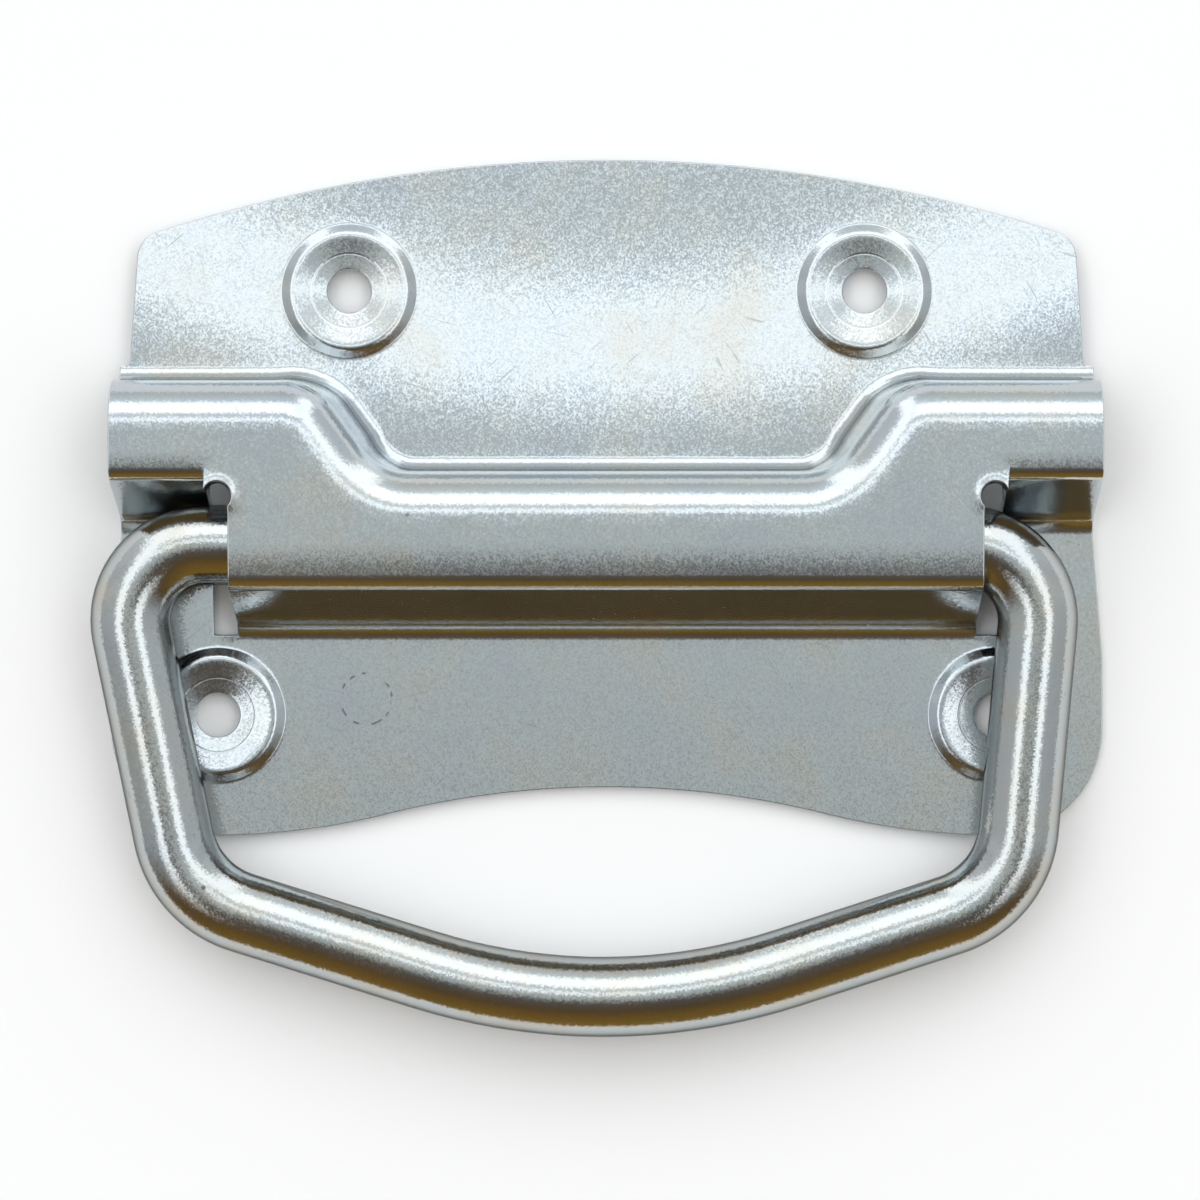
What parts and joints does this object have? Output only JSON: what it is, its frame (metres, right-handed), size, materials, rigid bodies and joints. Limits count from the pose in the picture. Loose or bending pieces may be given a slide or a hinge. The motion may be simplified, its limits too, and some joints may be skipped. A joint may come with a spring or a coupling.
{
  "type": "chest handle",
  "caption": "Pressed steel chest handle: a screw-on back plate with a raised barrel and ears, and a bent rod bail that swings up.",
  "frame": {"origin": "on the mounting face, midway between the two upper screw holes", "axes": "+Z out of the mounting face, +Y up the plate away from the bail, +X to the right along the hinge line"},
  "size_m": [0.1016, 0.0882, 0.0126],
  "materials": {
    "zinc_sheet": "bright zinc plating with a blue tinge, lightly scratched",
    "zinc_rod": "bright zinc plating with a blue and straw tinge"
  },
  "bodies": {
    "plate": {"plate": "zinc_sheet"},
    "bail": {"bail": "zinc_rod"}
  },
  "joints": [
    {"name": "bail_swing", "type": "hinge", "parent": "plate", "child": "bail", "pos_m": [0, -0.0257, 0.0068], "axis": [-1, 0, 0], "range_deg": [0, 111]}
  ]
}
